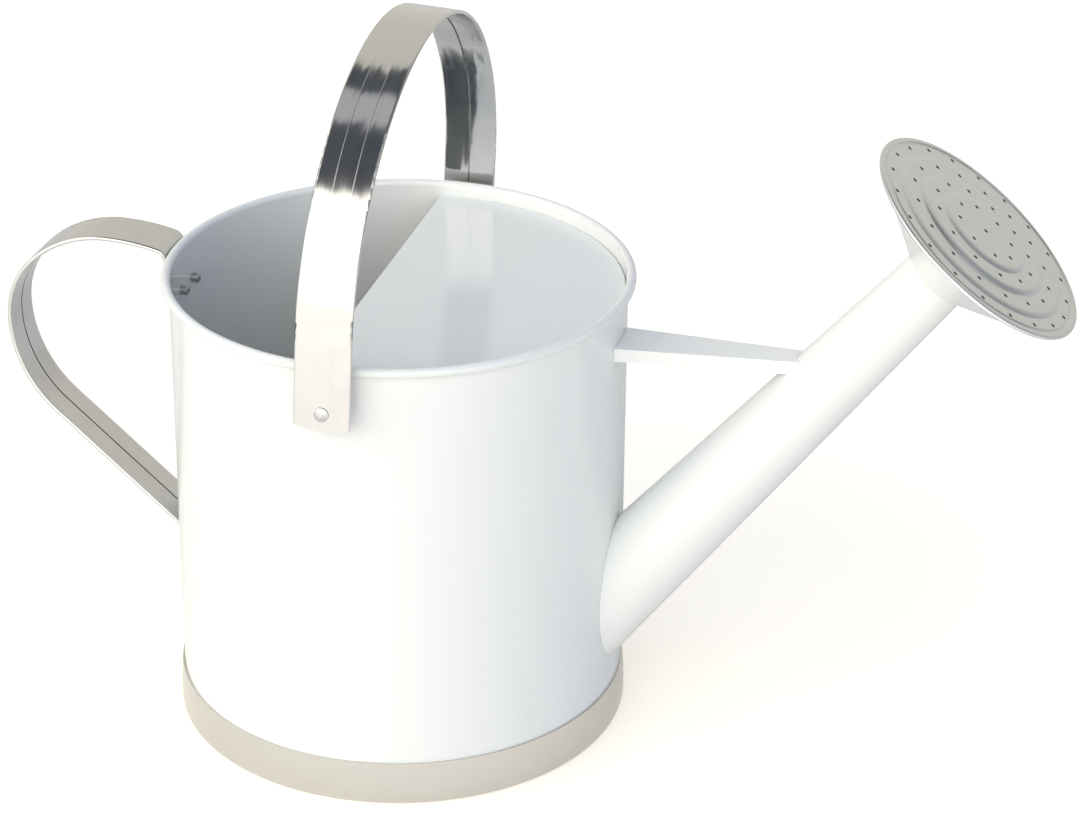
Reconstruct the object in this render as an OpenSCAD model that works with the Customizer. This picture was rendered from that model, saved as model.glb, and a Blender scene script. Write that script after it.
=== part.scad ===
// Watering can of about seven litres: a painted sheet-steel body and spout, with a
// base band, two strap handles and a rose face of polished stainless steel.
//
// The origin is on the body's axis, on the surface that the can stands on. +Z is up,
// +X is toward the spout, and the rear handle is on -X. Sizes are in millimetres.

/* [Body] */
// Outer radius of the round wall
body_r = 102.5; // [90:0.5:115]
// Height of the rolled rim above the ground
body_h = 216; // [205:1:240]
// Thickness of the painted sheet
sheet = 0.8; // [0.6:0.1:1.2]
// Radius of the wire that stiffens the rolled rim
rim_wire_r = 1.3; // [1:0.1:2]
// How far the rim is rolled round its wire, in degrees
rim_wrap = 300; // [240:5:310]

/* [Base] */
// Height of the polished band round the foot
band_h = 20.8; // [15:0.1:30]
// Thickness of the band
band_sheet = 0.8; // [0.5:0.1:1]
// How much wider the band is at its foot than at its top edge
band_flare = 0.8; // [0:0.1:1.2]
// How far the band swells between its edges
band_bulge = 0.4; // [0:0.1:1]
// Radius of the bend where the band turns under
band_corner_r = 2; // [1.5:0.1:3]
// Width of the turned-under foot that the can stands on
foot_w = 7; // [5:0.5:15]
// Height of the bottom plate's upper face above the ground
plate_h = 8; // [6:0.5:14]
// Radius of the bend at the edge of the bottom plate
plate_corner_r = 3; // [1.5:0.1:4]

/* [Splash cover] */
// Depth of the cover's upper face below the rim
cover_drop = 6.5; // [6:0.5:9]
// Distance of the cover's straight edge behind the can's axis
cover_edge = 10.5; // [0:0.5:30]
// Depth of the flange that carries the cover on the wall
cover_flange = 5; // [4:0.5:5.5]
// Radius of the bend between the cover and its flange
cover_corner_r = 1.4; // [1.2:0.1:3]
// Width of the hem folded under the straight edge
hem_w = 8; // [4:0.5:12]
// Gap left inside the hem
hem_gap = 0.4; // [0.2:0.1:0.8]

/* [Spout] */
// Height where the spout's axis leaves the wall
spout_z = 70.8; // [66:0.1:78]
// Angle of the spout above the horizontal
spout_angle = 51; // [48:0.5:54]
// Outer radius of the spout where its axis leaves the wall
spout_foot_r = 22.1; // [18:0.1:24]
// Outer radius of the spout at the rose
spout_tip_r = 14.6; // [12:0.1:16]
// Length of the spout's axis from the wall to the tip
spout_len = 221.2; // [205:0.1:240]

/* [Strut] */
// Depth of the strut's upper face below the rim, at the wall
strut_drop = 21.6; // [21:0.1:30]
// Rise of the strut toward the spout, in degrees
strut_tilt = 1.1; // [0:0.1:1.5]
// Width of the strut at the wall
strut_wall_w = 23.4; // [16:0.1:30]
// Width of the strut at the spout
strut_spout_w = 12.8; // [8:0.1:16]
// Depth of the strut's folded sides
strut_depth = 6.2; // [4:0.1:10]

/* [Rose] */
// Distance along the axis from the rose's neck to the middle of its folded edge
rose_depth = 26; // [24:0.5:34]
// Length of the neck that is soldered over the spout's tip
neck_lap = 2; // [1:0.5:4]
// Outer radius of the rose
rose_r = 55.7; // [52:0.1:65]
// Width of the cone's flange that the face is folded round
flange_w = 1; // [0.8:0.1:1.5]
// Thickness of the perforated face
face_sheet = 0.5; // [0.4:0.1:0.6]
// Width of the groove round the face
groove_w = 2.4; // [1.8:0.1:2.8]
// Depth of the groove
groove_depth = 0.5; // [0.3:0.1:0.6]
// Heights of the face's raised steps above its edge, from the centre outward
step_h = [3.3, 2.3, 0.95]; // [0.5:0.05:6]
// Width of the rounded rise from one step to the next
step_w = 3.5; // [2.5:0.1:5]
// Radius of the innermost ring of holes
ring_r = 15.4; // [12:0.1:16]
// Distance from the outermost ring of holes to the groove
ring_margin = 1.6; // [1.4:0.1:3]
// Radius of a hole
hole_r = 1; // [0.5:0.1:1.3]
// Number of holes in each ring, from the centre outward
ring_holes = [8, 12, 16, 20]; // [4:1:24]
// Turn of each ring of holes, in degrees
ring_turn = [30, 0, 8, 12]; // [0:1:45]

/* [Strap] */
// Width of the folded strap that both handles are made of
strap_w = 25; // [20:0.5:28]
// Thickness of the folded strap
strap_t = 2; // [1.8:0.1:2.4]
// Thickness of the sheet that the strap is folded from
strap_sheet = 0.8; // [0.6:0.1:0.8]
// Width of the seam along the strap's hidden face
seam_w = 0.8; // [0.3:0.1:1.2]
// Distance between the two fine beads along the carry handle's show face
bead_pitch = 8.4; // [6:0.1:12]
// Radius of the beads
bead_r = 0.45; // [0.3:0.05:0.6]
// Height of the beads above the show face
bead_h = 0.06; // [0.04:0.01:0.2]

/* [Carry handle] */
// Depth of the pivots below the rim
pivot_drop = 19.4; // [18:0.1:26]
// Gap between the wall and the handle's straight legs
leg_gap = 8; // [6:0.1:14]
// Length of each leg below its pivot
leg_below = 8; // [7:0.1:10]
// Length of each straight leg above its pivot
leg_above = 31.7; // [26:0.1:40]
// Distance from the middle of the can to the centre of each shoulder's bend
shoulder_y = 17.5; // [13:0.5:24]
// Extra height that the flatter crown has over two plain shoulders
crown_lift = 10.1; // [6:0.1:12]
// Lean of the handle toward the spout as it stands, in degrees
handle_lean = 2.4; // [0:0.1:5]
// Rise of the rounded end of each leg
leg_end_rise = 1.7; // [0.5:0.1:4]

/* [Rear handle] */
// Length of the tab riveted to the wall below the rim
top_tab = 14; // [12:0.5:16]
// Slant of the strap as it clears the rim, in degrees from the vertical
joggle = 22; // [20:1:30]
// Radius of the bend at the foot of the slant
joggle_r = 8; // [4:0.5:10]
// Gap between the slant and the rolled rim
rim_gap = 0.5; // [0.3:0.1:1.5]
// Radius of the bend beside the rim
rim_bend_r = 5; // [4:0.5:8]
// Fall of the handle toward the rim where it leaves that bend, in degrees
lead_angle = 14; // [10:1:18]
// Radius of the low arch between the rim and the top
lead_r = 102; // [90:1:120]
// Radius of the upper part of the grip
grip_top_r = 54; // [48:0.5:58]
// Radius of the rear part of the grip
grip_rear_r = 42.7; // [38:0.5:50]
// Radius of the lower part of the grip
grip_low_r = 61.5; // [50:0.5:70]
// Angle of the straight run above the horizontal
run_angle = 41; // [38:0.5:46]
// Radius of the bend where the run meets the wall
foot_bend_r = 4; // [3:0.5:8]
// Length of the tab riveted to the wall at the bottom
low_tab = 20; // [18:0.5:26]

/* [Rivets] */
// Radius of a blind rivet's shank
rivet_r = 1.6; // [1.5:0.1:1.8]
// Radius of a rivet's head
rivet_head_r = 3.3; // [2.8:0.1:3.6]
// Height of a rivet's head
rivet_head_h = 1.1; // [0.8:0.1:1.6]
// Radius of the tail that is drawn up inside the can
rivet_tail_r = 2.3; // [2:0.1:2.8]
// Length of the tail
rivet_tail = 3.3; // [2.5:0.1:4]
// Radius of the stem left in a rivet
stem_r = 0.9; // [0.7:0.1:1]
// Distance between the two rivets of a tab
rivet_pitch = 14.5; // [10:0.5:15]
// Distance from the end of a tab to its rivets
tab_edge = 8; // [5:0.5:9]
// Outer radius of the spacer tubes at the pivots
spacer_r = 4; // [3:0.1:5.5]

/* [Clearances] */
// Gap between pieces that are soldered, seamed or riveted together
seat_gap = 0.1; // [0.05:0.05:0.2]
// Gap between the swinging handle and what it turns against
turn_gap = 0.3; // [0.2:0.1:0.5]
// Radial clearance of the swinging handle on its rivets
pivot_fit = 0.06; // [0.02:0.01:0.1]

/* [Hidden] */

$fn = 96;

// How far the steps of a strap lap over each other, and how much thicker they get
join_lap = 0.1;
join_swell = 0.01;

// How far a cut runs past the surface it opens
past = 1;

// Rolled rim
curl_r = rim_wire_r + seat_gap + sheet;
curl_x = body_r - sheet + curl_r;
curl_z = body_h - curl_r;

// Pieces inside the wall stand on the band's turned-under foot
seat_z = band_sheet + seat_gap;
inside_r = body_r - sheet - seat_gap;
cover_top = body_h - cover_drop;

// The spout's cone starts inside the wall, far enough down for its mitre
mitre_spare = 10;
spout_root = spout_foot_r * tan(spout_angle) + mitre_spare;
spout_axis = [cos(spout_angle), 0, sin(spout_angle)];

// The strut is drawn long at both ends and cut back to the wall and the spout
strut_z = body_h - strut_drop;
strut_spare = 3;
strut_reach = (strut_z - spout_z) / sin(spout_angle);
strut_far = strut_reach * cos(spout_angle);
strut_span = strut_far - spout_r(strut_reach) / sin(spout_angle);

// Rose: the face's edge is folded round the cone's flange
rose_s = spout_len - neck_lap + rose_depth;
fold_r = sheet / 2 + seat_gap + face_sheet;
fold_x = rose_r - fold_r;
flange_x = fold_x - flange_w;
groove_x = flange_x - sheet / 2 - groove_w / 2;
ring_pitch = (groove_x - groove_w / 2 - ring_margin - ring_r) / len(step_h);

// Carry handle, to its show face
pivot_z = body_h - pivot_drop;
leg_y = body_r + leg_gap + strap_t;
shoulder_r = leg_y - shoulder_y;
crown_r = shoulder_r + (pow(shoulder_y, 2) + pow(crown_lift, 2)) / (2 * crown_lift);
shoulder_angle = 90 - 2 * atan(crown_lift / shoulder_y);
leg_end_r = (pow(strap_w / 2, 2) + pow(leg_end_rise, 2)) / (2 * leg_end_rise);
handle_path = [
    [leg_below + leg_above],
    [shoulder_r, shoulder_angle],
    [crown_r, 180 - 2 * shoulder_angle],
    [shoulder_r, shoulder_angle],
    [leg_below + leg_above]
];

// Rear handle, to its show face: it rises from the wall, slants past the rolled rim
// and bends over to the grip
tab_x = body_r + seat_gap;
rim_pass = curl_r + rim_gap;
joggle_top = [curl_x + rim_pass * cos(joggle), curl_z - rim_pass * sin(joggle)];
joggle_foot_x = tab_x + joggle_r * (1 - cos(joggle));
joggle_len = (joggle_top[0] - joggle_foot_x) / sin(joggle);
tab_top_z = joggle_top[1] - joggle_len * cos(joggle) - joggle_r * sin(joggle);
rim_bend = 90 - joggle - lead_angle;
// The grip turns a quarter in two equal arcs, then on to the slope of the run
grip_turn = 45;
low_turn = 90 - run_angle;
run_start_x = joggle_top[0] + past * sin(joggle)
    + rim_bend_r * (cos(joggle) - sin(lead_angle))
    + lead_r * sin(lead_angle)
    + grip_top_r * sin(grip_turn)
    + grip_rear_r * (1 - sin(grip_turn))
    - grip_low_r * (1 - cos(low_turn));
foot_x = body_r + seat_gap + strap_t;
run_len = (run_start_x - foot_x - foot_bend_r * (1 - cos(low_turn))) / sin(low_turn);
rear_path = [
    [top_tab],
    [joggle_r, joggle],
    [joggle_len + past],
    [rim_bend_r, rim_bend],
    [lead_r, lead_angle],
    [grip_top_r, grip_turn],
    [grip_rear_r, grip_turn],
    [grip_low_r, low_turn],
    [run_len],
    [foot_bend_r, -low_turn],
    [low_tab]
];
top_tab_z = tab_top_z - top_tab;
top_rivet_z = top_tab_z + tab_edge;
low_tab_z = joggle_top[1] + past * cos(joggle)
    + rim_bend_r * (cos(lead_angle) - sin(joggle))
    + lead_r * (1 - cos(lead_angle))
    - grip_top_r * (1 - cos(grip_turn))
    - grip_rear_r * cos(grip_turn)
    - grip_low_r * sin(low_turn)
    - run_len * cos(low_turn)
    - foot_bend_r * sin(low_turn)
    - low_tab;
low_rivet_z = low_tab_z + tab_edge;

// Metal that each rivet holds, from its head to the far side of its tail on the wall
pivot_grip = leg_y + turn_gap + seat_gap - inner_wall_x(rivet_tail_r);
tab_grip = foot_x + 2 * seat_gap - inner_wall_x(rivet_pitch / 2 + rivet_tail_r);

function polar(r, a) = [r * cos(a), r * sin(a)];
function arc(centre, r, from, to, n = 8) =
    [for (i = [0 : n]) centre + polar(r, from + (to - from) * i / n)];
function reversed(list) = [for (i = [len(list) - 1 : -1 : 0]) list[i]];
function inner_wall_x(y) = sqrt(pow(body_r - sheet, 2) - pow(y, 2));
function spout_r(s) = spout_foot_r + (spout_tip_r - spout_foot_r) * s / spout_len;

// ---- Placing ----

// Puts children on the spout's axis, s along it from the wall, with +Z toward the rose
module on_spout(s) {
    translate([body_r, 0, spout_z] + s * spout_axis)
        rotate([0, 90 - spout_angle, 0])
            children();
}

// Puts children at both pivots, r from the can's axis, with +Z outward
module at_pivots(r) {
    for (side = [-1, 1])
        translate([0, side * r, pivot_z])
            rotate([-90 * side, 0, 0])
                children();
}

// Puts children at the rear handle's four rivets, r from the can's axis, +Z outward
module at_rear_rivets(r) {
    for (z = [top_rivet_z, low_rivet_z])
        for (side = [-1, 1])
            translate([-r, side * rivet_pitch / 2, z])
                rotate([0, -90, 0])
                    children();
}

// ---- Shared shapes ----

// Half outline of a dish of sheet metal with its edge turned down
module dish_outline(r, top, foot, corner_r) {
    centre = [r - corner_r, top - corner_r];
    polygon(concat(
        [[0, top]],
        arc(centre, corner_r, 90, 0),
        [[r, foot], [r - sheet, foot]],
        arc(centre, corner_r - sheet, 0, 90),
        [[0, top - sheet]]
    ));
}

// Solid cone of the spout, its surface grown by extra, from s0 to s1 along the axis
module spout_cone(extra, s0, s1) {
    on_spout(s0)
        cylinder(r1 = spout_r(s0) + extra, r2 = spout_r(s1) + extra, h = s1 - s0);
}

// Everything within the wall's outer face, to mitre pieces onto it
module within_wall() {
    cylinder(r = body_r + seat_gap, h = body_h, $fn = 180);
}

// Section of the strap: a strip with both long edges folded in to a centre seam.
// X is the depth from the show face, and Y runs across the strap. All its metal is
// thicker by swell on every side.
module strap_section(swell, beaded) {
    flat_w = strap_w - strap_t;
    fold_gap = strap_t - 2 * strap_sheet - 2 * swell;
    difference() {
        union() {
            translate([-swell, -flat_w / 2])
                square([strap_t + 2 * swell, flat_w]);
            for (side = [-1, 1]) {
                translate([strap_t / 2, side * flat_w / 2])
                    circle(r = strap_t / 2 + swell);
                if (beaded)
                    translate([bead_r - bead_h, side * bead_pitch / 2])
                        circle(r = bead_r + swell);
            }
        }
        translate([strap_sheet + swell, -flat_w / 2 + swell])
            square([fold_gap, flat_w - 2 * swell]);
        translate([strap_t / 2, -seam_w / 2 + swell])
            square([strap_t, seam_w - 2 * swell]);
    }
}

// A straight piece of strap along +X from the origin
module strap_run(length, lap, swell, beaded) {
    translate([-lap, 0, 0])
        rotate([90, 0, 90])
            linear_extrude(height = length + 2 * lap)
                strap_section(swell, beaded);
}

// A bend of the strap that leaves the origin along +X. Its show face has the radius r,
// and a positive turn is toward the seam, which is on the +Y side.
module strap_bend(r, turn, lap, swell, beaded) {
    over = lap / r * 180 / PI;
    side = sign(turn);
    translate([0, side * r, 0])
        rotate([0, 0, -90 * side - over + min(turn, 0)])
            rotate_extrude(angle = abs(turn) + 2 * over, $fn = 180)
                translate([r, 0])
                    mirror([side > 0 ? 1 : 0, 0])
                        strap_section(swell, beaded);
}

// Lays the strap along a path in its XY plane, from the origin along +X, with the
// show face on the path and the seam on the +Y side. A step of the path is [length]
// or [radius, angle]. Every second step laps over its neighbours by a hair and is a
// hair thicker, so that they join into one piece.
module strap_along(path, beaded, i = 0) {
    if (i < len(path)) {
        size = path[i][0];
        lap = i % 2 * join_lap;
        swell = i % 2 * join_swell;
        if (len(path[i]) == 1) {
            strap_run(size, lap, swell, beaded);
            translate([size, 0, 0])
                strap_along(path, beaded, i + 1);
        } else {
            turn = path[i][1];
            strap_bend(size, turn, lap, swell, beaded);
            translate([0, sign(turn) * size, 0])
                rotate([0, 0, turn])
                    translate([0, -sign(turn) * size, 0])
                        strap_along(path, beaded, i + 1);
        }
    }
}

// Blind rivet on the Z axis, its closed head on z = 0 and its open tail below the grip
module rivet(grip) {
    dome_r = (pow(rivet_head_r, 2) + pow(rivet_head_h, 2)) / (2 * rivet_head_h);
    tail_end_r = 1.2 * rivet_tail_r;
    rotate_extrude($fn = 48)
        difference() {
            union() {
                intersection() {
                    translate([0, rivet_head_h - dome_r])
                        circle(r = dome_r);
                    square([rivet_head_r, rivet_head_h]);
                }
                translate([0, -grip - rivet_tail / 2])
                    square([rivet_r, grip + rivet_tail / 2]);
                intersection() {
                    translate([0, -grip - rivet_tail])
                        square([rivet_tail_r, rivet_tail]);
                    translate([0, -grip - rivet_tail + rivet_tail_r])
                        circle(r = tail_end_r);
                }
            }
            translate([0, -grip - rivet_tail - past])
                square([stem_r, grip + rivet_tail + past]);
        }
}

// Stem that stays in a rivet once it is set, from its head to the end of the tail
module rivet_stem(grip) {
    translate([0, 0, -grip - rivet_tail])
        cylinder(r = stem_r - seat_gap / 2, h = grip + rivet_tail - seat_gap, $fn = 32);
}

// ---- Body ----

module wall_outline() {
    translate([body_r - sheet, seat_z])
        square([sheet, curl_z - seat_z]);
    translate([curl_x, curl_z])
        difference() {
            circle(r = curl_r);
            circle(r = curl_r - sheet);
            polygon(concat([[0, 0]], arc([0, 0], 2 * curl_r, 180, 540 - rim_wrap, 2)));
        }
}

module body_wall() {
    color("white")
        difference() {
            rotate_extrude($fn = 180)
                wall_outline();
            spout_cone(-sheet, -spout_root, spout_root);
            at_pivots(body_r - sheet - past)
                cylinder(r = rivet_r + seat_gap, h = sheet + 2 * past, $fn = 32);
            at_rear_rivets(body_r - sheet - past)
                cylinder(r = rivet_r + seat_gap, h = sheet + 2 * past, $fn = 32);
        }
}

module rim_wire() {
    color("gray")
        rotate_extrude($fn = 180)
            translate([curl_x, curl_z])
                circle(r = rim_wire_r, $fn = 32);
}

module base_plate() {
    color("white")
        rotate_extrude($fn = 180)
            dish_outline(inside_r, plate_h, seat_z, plate_corner_r);
}

// Outer radius of the band at height z
function band_r(z) =
    let (up = z / band_h)
    tab_x + band_sheet + band_flare * (1 - up) + 4 * band_bulge * up * (1 - up);

module base_band() {
    side_h = band_h - band_corner_r;
    side = [for (i = [0 : 8]) let (z = band_h - side_h * i / 8) [band_r(z), z]];
    centre = [band_r(band_corner_r) - band_corner_r, band_corner_r];
    foot_r = band_r(0) - foot_w;
    color("silver")
        rotate_extrude($fn = 180)
            polygon(concat(
                side,
                arc(centre, band_corner_r, 0, -90),
                [[foot_r, 0], [foot_r, band_sheet]],
                arc(centre, band_corner_r - band_sheet, -90, 0),
                [for (p = reversed(side)) p - [band_sheet, 0]]
            ));
}

// ---- Splash cover ----

// Half-round fold along the cover's straight edge and the layer folded under it
module hem_outline() {
    hem_r = sheet + hem_gap / 2;
    difference() {
        translate([hem_r, -hem_r])
            circle(r = hem_r, $fn = 32);
        translate([hem_r, -hem_r])
            circle(r = hem_gap / 2, $fn = 32);
        translate([hem_r, -2 * hem_r - past])
            square([hem_r + past, 2 * (hem_r + past)]);
    }
    translate([hem_r, -2 * hem_r])
        square([hem_w, sheet]);
    translate([hem_r, -sheet])
        square([hem_w, sheet]);
}

module splash_cover() {
    color("white") {
        intersection() {
            rotate_extrude($fn = 180)
                dish_outline(inside_r, cover_top, cover_top - cover_flange, cover_corner_r);
            translate([-cover_edge + sheet + hem_gap / 2, -body_r, 0])
                cube([2 * body_r, 2 * body_r, body_h]);
        }
        intersection() {
            translate([-cover_edge, body_r, cover_top])
                rotate([90, 0, 0])
                    linear_extrude(height = 2 * body_r)
                        hem_outline();
            cylinder(r = inside_r - cover_corner_r, h = body_h, $fn = 180);
        }
    }
}

// ---- Spout ----

module spout_tube() {
    color("white")
        difference() {
            spout_cone(0, -spout_root, spout_len);
            spout_cone(-sheet, -spout_root - past, spout_len + past);
            within_wall();
        }
}

// Plan of the strut from inside the wall to past the spout's axis, narrowed by inset
// on each side
module strut_plan(inset) {
    taper = (strut_wall_w - strut_spout_w) / strut_span;
    near_w = strut_wall_w + taper * strut_spare;
    far_w = strut_wall_w - taper * (strut_far + strut_spare);
    polygon([
        [-strut_spare, near_w / 2 - inset],
        [-strut_spare, -near_w / 2 + inset],
        [strut_far + strut_spare, -far_w / 2 + inset],
        [strut_far + strut_spare, far_w / 2 - inset]
    ]);
}

module spout_strut() {
    color("white")
        difference() {
            translate([body_r, 0, strut_z])
                rotate([0, -strut_tilt, 0])
                    difference() {
                        translate([0, 0, -strut_depth])
                            linear_extrude(height = strut_depth)
                                strut_plan(0);
                        translate([0, 0, -strut_depth - past])
                            linear_extrude(height = strut_depth + past - sheet)
                                strut_plan(sheet);
                    }
            within_wall();
            spout_cone(seat_gap, 0, spout_len);
        }
}

// ---- Rose ----

module rose_cone() {
    neck_r = spout_r(spout_len - neck_lap) + seat_gap;
    color("white")
        on_spout(rose_s)
            rotate_extrude($fn = 120)
                polygon([
                    [neck_r, -rose_depth],
                    [neck_r + sheet, -rose_depth],
                    [flange_x, -sheet / 2],
                    [fold_x, -sheet / 2],
                    [fold_x, sheet / 2],
                    [flange_x, sheet / 2]
                ]);
}

// Upper surface of the face, from the centre to the outer side of its groove. Each
// step is flat, and rounds over to a crease at the foot of the next one's rise.
function face_points() =
    let (
        steps = len(step_h),
        level = [for (h = concat(step_h, [0])) fold_r + h],
        groove_r = (pow(groove_w / 2, 2) + pow(groove_depth, 2)) / (2 * groove_depth),
        groove_half = asin(groove_w / 2 / groove_r),
        groove_centre = [groove_x, fold_r - groove_depth + groove_r]
    )
    concat(
        [[0, level[0]]],
        [for (i = [0 : steps - 1])
            let (
                rise = level[i] - level[i + 1],
                round_r = (pow(step_w, 2) + pow(rise, 2)) / (2 * rise),
                start = [ring_r + ring_pitch * (i + 0.5) - step_w / 2, level[i] - round_r]
            )
            each arc(start, round_r, 90, 90 - 2 * atan(rise / step_w), 5)],
        arc(groove_centre, groove_r, -90 - groove_half, -90 + groove_half)
    );

module rose_face() {
    face = face_points();
    fold = [fold_x, 0];
    tuck_x = flange_x + 2 * seat_gap;
    under = fold_r - groove_depth - face_sheet - past;
    color("silver")
        on_spout(rose_s)
            difference() {
                rotate_extrude($fn = 120)
                    polygon(concat(
                        face,
                        arc(fold, fold_r, 90, -90, 12),
                        [[tuck_x, -fold_r], [tuck_x, -fold_r + face_sheet]],
                        arc(fold, fold_r - face_sheet, -90, 90, 12),
                        [for (p = reversed(face)) p - [0, face_sheet]]
                    ));
                cylinder(r = hole_r, h = 2 * (fold_r + step_h[0]), $fn = 24);
                for (i = [0 : len(ring_holes) - 1])
                    for (k = [1 : ring_holes[i]])
                        rotate([0, 0, ring_turn[i] + 360 * k / ring_holes[i]])
                            translate([ring_r + ring_pitch * i, 0, under])
                                cylinder(r = hole_r, h = 2 * (fold_r + step_h[0]), $fn = 24);
            }
}

// ---- Carry handle ----

// What is cut away to round the end of the leg on the Z axis
module leg_end_cut() {
    rotate([90, 0, 0])
        linear_extrude(height = strap_t + 2 * past, center = true)
            difference() {
                translate([-strap_w, -leg_below - strap_w])
                    square([2 * strap_w, strap_w + leg_end_rise]);
                translate([0, leg_end_r - leg_below])
                    circle(r = leg_end_r);
            }
}

module carry_handle() {
    color("silver")
        translate([0, 0, pivot_z])
            rotate([0, handle_lean, 0])
                difference() {
                    translate([0, -leg_y, -leg_below])
                        rotate([0, -90, 0])
                            strap_along(handle_path, beaded = true);
                    for (side = [-1, 1])
                        translate([0, side * (leg_y - strap_t / 2), 0])
                            leg_end_cut();
                    rotate([90, 0, 0])
                        cylinder(
                            r = rivet_r + pivot_fit, h = 2 * (leg_y + past),
                            center = true, $fn = 48
                        );
                }
}

module pivot_spacers() {
    color("gray")
        at_pivots(tab_x)
            difference() {
                cylinder(r = spacer_r, h = leg_gap - seat_gap - turn_gap, $fn = 48);
                translate([0, 0, -past])
                    cylinder(r = rivet_r + seat_gap, h = leg_gap + 2 * past, $fn = 48);
            }
}

module pivot_rivets() {
    color("silver")
        at_pivots(leg_y + turn_gap)
            rivet(pivot_grip);
}

module pivot_rivet_stems() {
    color("dimgray")
        at_pivots(leg_y + turn_gap)
            rivet_stem(pivot_grip);
}

// ---- Rear handle ----

module rear_handle() {
    color("silver")
        difference() {
            translate([-tab_x, 0, top_tab_z])
                rotate([0, -90, 90])
                    strap_along(rear_path, beaded = false);
            at_rear_rivets(tab_x - past)
                cylinder(r = rivet_r + seat_gap, h = strap_t + 2 * past, $fn = 32);
        }
}

module rear_handle_rivets() {
    color("silver")
        at_rear_rivets(foot_x + seat_gap)
            rivet(tab_grip);
}

module rear_rivet_stems() {
    color("dimgray")
        at_rear_rivets(foot_x + seat_gap)
            rivet_stem(tab_grip);
}

body_wall();
rim_wire();
base_plate();
base_band();
splash_cover();
spout_tube();
spout_strut();
rose_cone();
rose_face();
carry_handle();
pivot_spacers();
pivot_rivets();
pivot_rivet_stems();
rear_handle();
rear_handle_rivets();
rear_rivet_stems();
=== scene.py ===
"""Looks of a white watering can with polished stainless-steel straps, band and rose.

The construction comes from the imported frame. This script gives every piece its
finish, and adds the light, the floor and the camera. Lengths are in metres.
"""

import math

import bpy
from mathutils import Matrix

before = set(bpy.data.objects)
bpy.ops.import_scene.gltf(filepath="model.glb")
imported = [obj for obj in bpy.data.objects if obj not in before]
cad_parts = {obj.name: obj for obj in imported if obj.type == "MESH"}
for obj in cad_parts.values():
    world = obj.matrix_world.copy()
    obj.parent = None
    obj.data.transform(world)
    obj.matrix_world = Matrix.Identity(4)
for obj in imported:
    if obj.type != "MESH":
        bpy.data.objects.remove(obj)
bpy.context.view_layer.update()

MM = 0.001


# ---- Nodes ----


def hex_colour(code):
    """A colour written as sRGB hex, as the linear RGBA that the shaders take."""
    channels = [int(code[i : i + 2], 16) / 255 for i in (1, 3, 5)]
    linear = [
        c / 12.92 if c <= 0.04045 else ((c + 0.055) / 1.055) ** 2.4 for c in channels
    ]
    return (*linear, 1)


def add_node(tree, kind, settings=None, inputs=None):
    """Adds a node. Each input is a socket's name or number, with its value or the
    socket that it takes its value from."""
    node = tree.nodes.new("ShaderNode" + kind)
    for name, value in (settings or {}).items():
        setattr(node, name, value)
    for name, value in (inputs or {}).items():
        if isinstance(value, bpy.types.NodeSocket):
            tree.links.new(value, node.inputs[name])
        else:
            node.inputs[name].default_value = value
    return node


def start_material(name):
    """An empty material, with the object's own coordinates for its patterns. These are
    in metres, so a pattern's scale is one over its size."""
    material = bpy.data.materials.new(name)
    material.use_nodes = True
    tree = material.node_tree
    tree.nodes.clear()
    return material, tree, add_node(tree, "TexCoord").outputs["Object"]


# ---- Finishes ----

# Where two faces of a mesh meet at less than this, they are one bend and look smooth
BEND_ANGLE = math.radians(28)

# The two neutral greys of the handles' strip
STRAP_TONES = ("#C8C8C8", "#D0D0D0")

# Buffed hair lines are 50 times as long as they are wide. They lie side by side on
# one axis, and are drawn out on the other two
HAIR_BESIDE_X = (1, 0.02, 0.02)
HAIR_BESIDE_Y = (0.02, 1, 0.02)
HAIR_BESIDE_Z = (0.02, 0.02, 1)


def stoved_enamel():
    """White stoved enamel on sheet steel. It is sprayed on and baked, so it has a hard
    clear gloss over the faintest orange peel, about 4 mm across, and the sheet under it
    is a little wavy over some 40 mm. It lies a shade thinner here and there, in clouds
    of some 60 mm."""
    material, tree, where = start_material("stoved_white_enamel")
    peel = add_node(
        tree, "TexNoise", inputs={"Vector": where, "Scale": 1 / (4 * MM), "Detail": 2.0}
    )
    waves = add_node(
        tree, "TexNoise", inputs={"Vector": where, "Scale": 1 / (40 * MM), "Detail": 1.0}
    )
    cloud = add_node(
        tree, "TexNoise", inputs={"Vector": where, "Scale": 1 / (60 * MM), "Detail": 3.0}
    )
    paint = add_node(
        tree, "MixRGB",
        inputs={
            "Fac": cloud.outputs["Fac"], "Color1": hex_colour("#EDF0EE"),
            "Color2": hex_colour("#F1F3F1"),
        },
    )
    gloss = add_node(
        tree, "MapRange",
        inputs={"Value": cloud.outputs["Fac"], "To Min": 0.1, "To Max": 0.17},
    )
    sheet = add_node(
        tree, "Bump",
        inputs={"Height": waves.outputs["Fac"], "Strength": 0.3, "Distance": 0.5 * MM},
    )
    skin = add_node(
        tree, "Bump",
        inputs={
            "Height": peel.outputs["Fac"], "Strength": 0.05, "Distance": 0.2 * MM,
            "Normal": sheet.outputs["Normal"],
        },
    )
    enamel = add_node(
        tree, "BsdfPrincipled",
        inputs={
            "Base Color": paint.outputs["Color"], "Roughness": gloss.outputs["Result"],
            "IOR": 1.5, "Normal": skin.outputs["Normal"],
        },
    )
    add_node(tree, "OutputMaterial", inputs={"Surface": enamel.outputs["BSDF"]})
    return material


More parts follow.
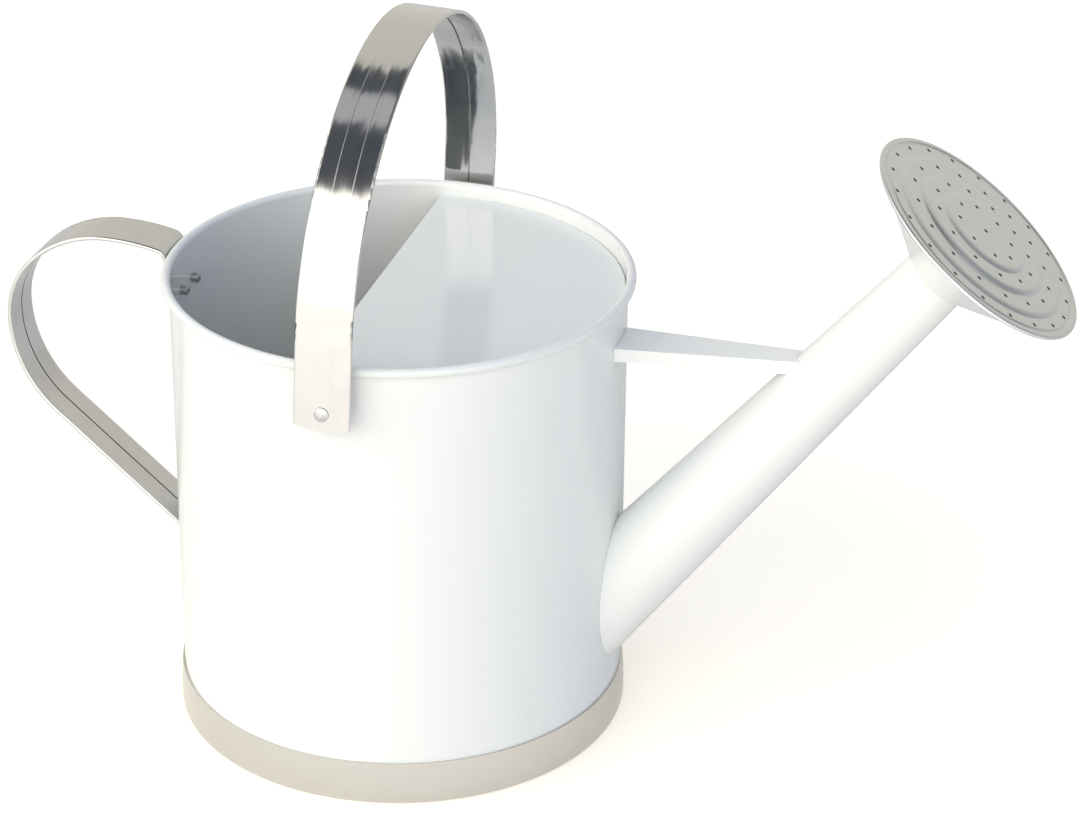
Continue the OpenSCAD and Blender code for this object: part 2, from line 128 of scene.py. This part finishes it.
def polished_stainless(name, tones, haze, hair, dents, dent_depth):
    """Stainless steel strip or sheet, rolled bright and then buffed. Buffing leaves hair
    lines that run one way. They are finer than can be seen, and are drawn 0.7 mm apart,
    so that they show. The soft metal is a little uneven from folding, so straight
    reflections in it wander. tones are its two shades of grey and haze their roughness,
    both in clouds of some 9 mm. hair says on which axis the hair lines lie side by side,
    dents how many there are to a metre on each axis, and dent_depth how deep they go."""
    material, tree, where = start_material(name)
    drawn = add_node(tree, "Mapping", inputs={"Vector": where, "Scale": hair})
    lines = add_node(
        tree, "TexNoise",
        inputs={"Vector": drawn.outputs["Vector"], "Scale": 1 / (0.7 * MM), "Detail": 3.0},
    )
    strewn = add_node(tree, "Mapping", inputs={"Vector": where, "Scale": dents})
    uneven = add_node(
        tree, "TexNoise",
        inputs={"Vector": strewn.outputs["Vector"], "Scale": 1.0, "Detail": 1.5},
    )
    cloud = add_node(
        tree, "TexNoise", inputs={"Vector": where, "Scale": 1 / (9 * MM), "Detail": 4.0}
    )
    steel = add_node(
        tree, "MixRGB",
        inputs={
            "Fac": cloud.outputs["Fac"], "Color1": hex_colour(tones[0]),
            "Color2": hex_colour(tones[1]),
        },
    )
    buffed = add_node(
        tree, "MapRange",
        inputs={"Value": cloud.outputs["Fac"], "To Min": haze[0], "To Max": haze[1]},
    )
    bowed = add_node(
        tree, "Bump",
        inputs={"Height": uneven.outputs["Fac"], "Strength": 1.0, "Distance": dent_depth},
    )
    lined = add_node(
        tree, "Bump",
        inputs={
            "Height": lines.outputs["Fac"], "Strength": 0.05, "Distance": 0.1 * MM,
            "Normal": bowed.outputs["Normal"],
        },
    )
    metal = add_node(
        tree, "BsdfPrincipled",
        inputs={
            "Base Color": steel.outputs["Color"], "Metallic": 1.0,
            "Roughness": buffed.outputs["Result"], "Normal": lined.outputs["Normal"],
        },
    )
    add_node(tree, "OutputMaterial", inputs={"Surface": metal.outputs["BSDF"]})
    return material


def drawn_wire(name, colour, roughness):
    """Cold-drawn wire or rivet metal as it comes from the die: dull grey, with fine
    scratches and a darker film of oil in places, about 2 mm across. The scratches are
    drawn half a millimetre apart, coarser than they are, so that they show."""
    material, tree, where = start_material(name)
    film = add_node(
        tree, "TexNoise", inputs={"Vector": where, "Scale": 1 / (2 * MM), "Detail": 4.0}
    )
    scratch = add_node(
        tree, "TexNoise", inputs={"Vector": where, "Scale": 1 / (0.5 * MM), "Detail": 2.0}
    )
    oiled = add_node(
        tree, "MapRange",
        inputs={"Value": film.outputs["Fac"], "To Min": 0.75, "To Max": 1.1},
    )
    tone = add_node(
        tree, "HueSaturation",
        inputs={"Color": hex_colour(colour), "Value": oiled.outputs["Result"]},
    )
    scored = add_node(
        tree, "Bump",
        inputs={"Height": scratch.outputs["Fac"], "Strength": 0.2, "Distance": 0.05 * MM},
    )
    metal = add_node(
        tree, "BsdfPrincipled",
        inputs={
            "Base Color": tone.outputs["Color"], "Metallic": 1.0, "Roughness": roughness,
            "Normal": scored.outputs["Normal"],
        },
    )
    add_node(tree, "OutputMaterial", inputs={"Surface": metal.outputs["BSDF"]})
    return material


def dress(material, *nodes):
    """Gives CAD nodes their finish, and smooths their bends but not their edges."""
    for name in nodes:
        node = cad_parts[name]
        node.data.materials.clear()
        node.data.materials.append(material)
        bpy.ops.object.select_all(action="DESELECT")
        bpy.context.view_layer.objects.active = node
        node.select_set(True)
        bpy.ops.object.shade_smooth_by_angle(angle=BEND_ANGLE)


dress(
    stoved_enamel(),
    "body_wall", "base_plate", "splash_cover", "spout_tube", "spout_strut", "rose_cone",
)
dress(
    polished_stainless(
        "buffed_carry_strap", tones=STRAP_TONES, haze=(0.09, 0.17),
        hair=HAIR_BESIDE_X, dents=(140, 30, 30), dent_depth=0.5 * MM,
    ),
    "carry_handle",
)
dress(
    polished_stainless(
        "buffed_rear_strap", tones=STRAP_TONES, haze=(0.12, 0.2),
        hair=HAIR_BESIDE_Y, dents=(30, 140, 30), dent_depth=0.15 * MM,
    ),
    "rear_handle",
)
dress(
    polished_stainless(
        "buffed_base_band", tones=("#CBC9C4", "#D3D1CC"), haze=(0.12, 0.2),
        hair=HAIR_BESIDE_Z, dents=(33, 33, 33), dent_depth=0.08 * MM,
    ),
    "base_band",
)
dress(
    polished_stainless(
        "pressed_bright_rose", tones=("#D6D9DB", "#DDDFE1"), haze=(0.3, 0.42),
        hair=HAIR_BESIDE_Y, dents=(50, 50, 50), dent_depth=0.08 * MM,
    ),
    "rose_face",
)
dress(
    drawn_wire("rivet_aluminium", "#C4C5C6", roughness=0.3),
    "pivot_rivets", "rear_handle_rivets", "pivot_spacers",
)
dress(
    drawn_wire("rivet_stem_steel", "#77777A", roughness=0.4),
    "pivot_rivet_stems", "rear_rivet_stems",
)
dress(drawn_wire("rim_wire_steel", "#8C8C8E", roughness=0.45), "rim_wire")


# ---- Studio ----

# The floor reaches past the view on every side. It glows this much to the eye, so that
# it is white there and still keeps a shadow. In the steel it glows in full up to the
# first of two distances toward the far side, and not at all past the second
FLOOR_WIDTH = 12
FLOOR_GLOW_TO_EYE = 0.46
FLOOR_GLOW_IN_STEEL = (-0.6, 0.2)

# The wall runs all round. These are for its plain part and for the middle of the bright
# one: how strongly it shines, and how high it reaches, as the upward step of a ray of
# length 1 that meets its top
WALL_STRENGTH = (0.8, 2.35)
WALL_TOP = (0.87, 0.765)
WALL_TOP_BLUR = 0.01

# The parts of the studio that lie in one direction, given as steps toward the spout,
# the far side and up. Each fades in between two cosines of the angle to its middle, up
# to its strength. One that stands from floor to ceiling goes by the heading alone
STUDIO_PARTS = {
    "bright_wall": {
        "toward": (0.1, -0.995, 0), "stands": True, "fade": (0.25, 0.65), "strength": 1.0,
    },
    "open_side": {
        "toward": (1, 0, 0), "stands": True, "fade": (0.4, 0.9), "strength": 1.0,
    },
    "lamp": {
        "toward": (-0.24, 0.045, 0.97), "stands": False, "fade": (0.987, 0.992),
        "strength": 0.5,
    },
    "window": {
        "toward": (-0.85, -0.3, 0.43), "stands": False, "fade": (0.85, 0.95),
        "strength": 0.7,
    },
}


def add_floor():
    """A sheet of white paper, wide enough to fill the view. To the eye it glows up to
    white and keeps the can's shadow. In the steel it glows more toward the bright wall,
    and not at all behind the can."""
    bpy.ops.object.select_all(action="DESELECT")
    bpy.ops.mesh.primitive_plane_add(size=FLOOR_WIDTH)
    floor = bpy.context.object
    floor.name = "floor"
    material, tree, where = start_material("white_paper")
    ray = add_node(tree, "LightPath")
    ahead = add_node(tree, "SeparateXYZ", inputs={"Vector": where})
    brighter = add_node(
        tree, "MapRange",
        inputs={
            "Value": ahead.outputs["Y"], "From Min": FLOOR_GLOW_IN_STEEL[0],
            "From Max": FLOOR_GLOW_IN_STEEL[1], "To Min": 1.0, "To Max": 0.0,
        },
    )
    in_steel = add_node(
        tree, "Math", {"operation": "MULTIPLY"},
        {0: ray.outputs["Is Glossy Ray"], 1: brighter.outputs["Result"]},
    )
    to_eye = add_node(
        tree, "Math", {"operation": "MULTIPLY"},
        {0: ray.outputs["Is Camera Ray"], 1: FLOOR_GLOW_TO_EYE},
    )
    glow = add_node(
        tree, "Math", {"operation": "ADD"}, {0: in_steel.outputs[0], 1: to_eye.outputs[0]}
    )
    paper = add_node(tree, "BsdfDiffuse", inputs={"Color": hex_colour("#F0EDE6")})
    lift = add_node(
        tree, "Emission",
        inputs={"Color": hex_colour("#FFF8EA"), "Strength": glow.outputs[0]},
    )
    lit_paper = add_node(
        tree, "AddShader", inputs={0: paper.outputs[0], 1: lift.outputs[0]}
    )
    add_node(tree, "OutputMaterial", inputs={"Surface": lit_paper.outputs[0]})
    floor.data.materials.append(material)


def find_parts(tree, direction):
    """For each part of the studio that lies in one direction, how much of it the ray
    meets, up to its strength."""
    level = add_node(
        tree, "VectorMath", {"operation": "MULTIPLY"}, {0: direction, 1: (1, 1, 0)}
    )
    heading = add_node(
        tree, "VectorMath", {"operation": "NORMALIZE"}, {0: level.outputs[0]}
    )
    parts = {}
    for name, part in STUDIO_PARTS.items():
        nearness = add_node(
            tree, "VectorMath", {"operation": "DOT_PRODUCT"},
            {0: heading.outputs[0] if part["stands"] else direction, 1: part["toward"]},
        )
        met = add_node(
            tree, "MapRange", {"interpolation_type": "SMOOTHSTEP"},
            {
                "Value": nearness.outputs["Value"], "From Min": part["fade"][0],
                "From Max": part["fade"][1], "To Max": part["strength"],
            },
        )
        parts[name] = met.outputs["Result"]
    return parts


def add_walls_and_ceiling(tree, direction, ray, parts):
    """The wall all round, brighter and lower at the front, and the ceiling over it. The
    wall's open side and the ceiling are grey in the steel, and fill the can's shaded
    inside with blue."""
    strength = add_node(
        tree, "MapRange",
        inputs={
            "Value": parts["bright_wall"], "To Min": WALL_STRENGTH[0],
            "To Max": WALL_STRENGTH[1],
        },
    )
    open_colour = add_node(
        tree, "MixRGB",
        inputs={
            "Fac": ray.outputs["Is Diffuse Ray"], "Color1": hex_colour("#A6AAAE"),
            "Color2": hex_colour("#667EA4"),
        },
    )
    wall_colour = add_node(
        tree, "MixRGB",
        inputs={
            "Fac": parts["open_side"], "Color1": hex_colour("#FFFBF0"),
            "Color2": open_colour.outputs["Color"],
        },
    )
    wall = add_node(
        tree, "Background",
        inputs={"Color": wall_colour.outputs["Color"], "Strength": strength.outputs[0]},
    )
    ceiling_colour = add_node(
        tree, "MixRGB",
        inputs={
            "Fac": ray.outputs["Is Diffuse Ray"], "Color1": hex_colour("#585C62"),
            "Color2": hex_colour("#6A84BC"),
        },
    )
    ceiling = add_node(
        tree, "Background", inputs={"Color": ceiling_colour.outputs["Color"]}
    )

    top = add_node(
        tree, "MapRange",
        inputs={
            "Value": parts["bright_wall"], "To Min": WALL_TOP[0], "To Max": WALL_TOP[1],
        },
    )
    up = add_node(tree, "SeparateXYZ", inputs={"Vector": direction})
    headroom = add_node(
        tree, "Math", {"operation": "SUBTRACT"}, {0: top.outputs[0], 1: up.outputs["Z"]}
    )
    below_top = add_node(
        tree, "MapRange", {"interpolation_type": "SMOOTHSTEP"},
        {
            "Value": headroom.outputs[0], "From Min": -WALL_TOP_BLUR,
            "From Max": WALL_TOP_BLUR,
        },
    )
    return add_node(
        tree, "MixShader",
        inputs={0: below_top.outputs[0], 1: ceiling.outputs[0], 2: wall.outputs[0]},
    )


def add_studio():
    """A room with a bright wall before the can and a grey one behind it, open beyond the
    spout, under a dim ceiling with a soft lamp, and with a window high on the left. All
    of it is one sky, found from the direction of the ray. To the eye it is white."""
    world = bpy.data.worlds.new("studio")
    bpy.context.scene.world = world
    world.use_nodes = True
    tree = world.node_tree
    tree.nodes.clear()
    ray = add_node(tree, "LightPath")
    direction = add_node(tree, "TexCoord").outputs["Generated"]
    parts = find_parts(tree, direction)
    shell = add_walls_and_ceiling(tree, direction, ray, parts)
    lamp_and_window = add_node(
        tree, "Math", {"operation": "ADD"}, {0: parts["lamp"], 1: parts["window"]}
    )
    lights = add_node(
        tree, "Background",
        inputs={"Color": hex_colour("#FFFFFF"), "Strength": lamp_and_window.outputs[0]},
    )
    room = add_node(tree, "AddShader", inputs={0: shell.outputs[0], 1: lights.outputs[0]})
    white = add_node(tree, "Background", inputs={"Color": hex_colour("#FFFFFF")})
    seen = add_node(
        tree, "MixShader",
        inputs={0: ray.outputs["Is Camera Ray"], 1: room.outputs[0], 2: white.outputs[0]},
    )
    add_node(tree, "OutputWorld", inputs={"Surface": seen.outputs[0]})


def add_camera():
    """A long lens, to the right of the front and well above the can. The camera starts
    out looking straight down, with its top toward the far side."""
    data = bpy.data.cameras.new("camera")
    data.sensor_width = 36
    data.lens = 107.6
    data.shift_x = -0.0272
    data.shift_y = -0.0473
    data.clip_start = 0.1
    data.clip_end = 50
    camera = bpy.data.objects.new("camera", data)
    bpy.context.scene.collection.objects.link(camera)
    place = (0.3915, -1.2605, 0.8026)
    azimuth, pitch, roll = math.radians(13.93), math.radians(-25.52), math.radians(0.82)
    camera.matrix_world = (
        Matrix.Translation(place)
        @ Matrix.Rotation(azimuth, 4, "Z")
        @ Matrix.Rotation(math.radians(90) + pitch, 4, "X")
        @ Matrix.Rotation(roll, 4, "Z")
    )
    bpy.context.scene.camera = camera


add_floor()
add_studio()
add_camera()
bpy.context.scene.view_settings.view_transform = "Standard"
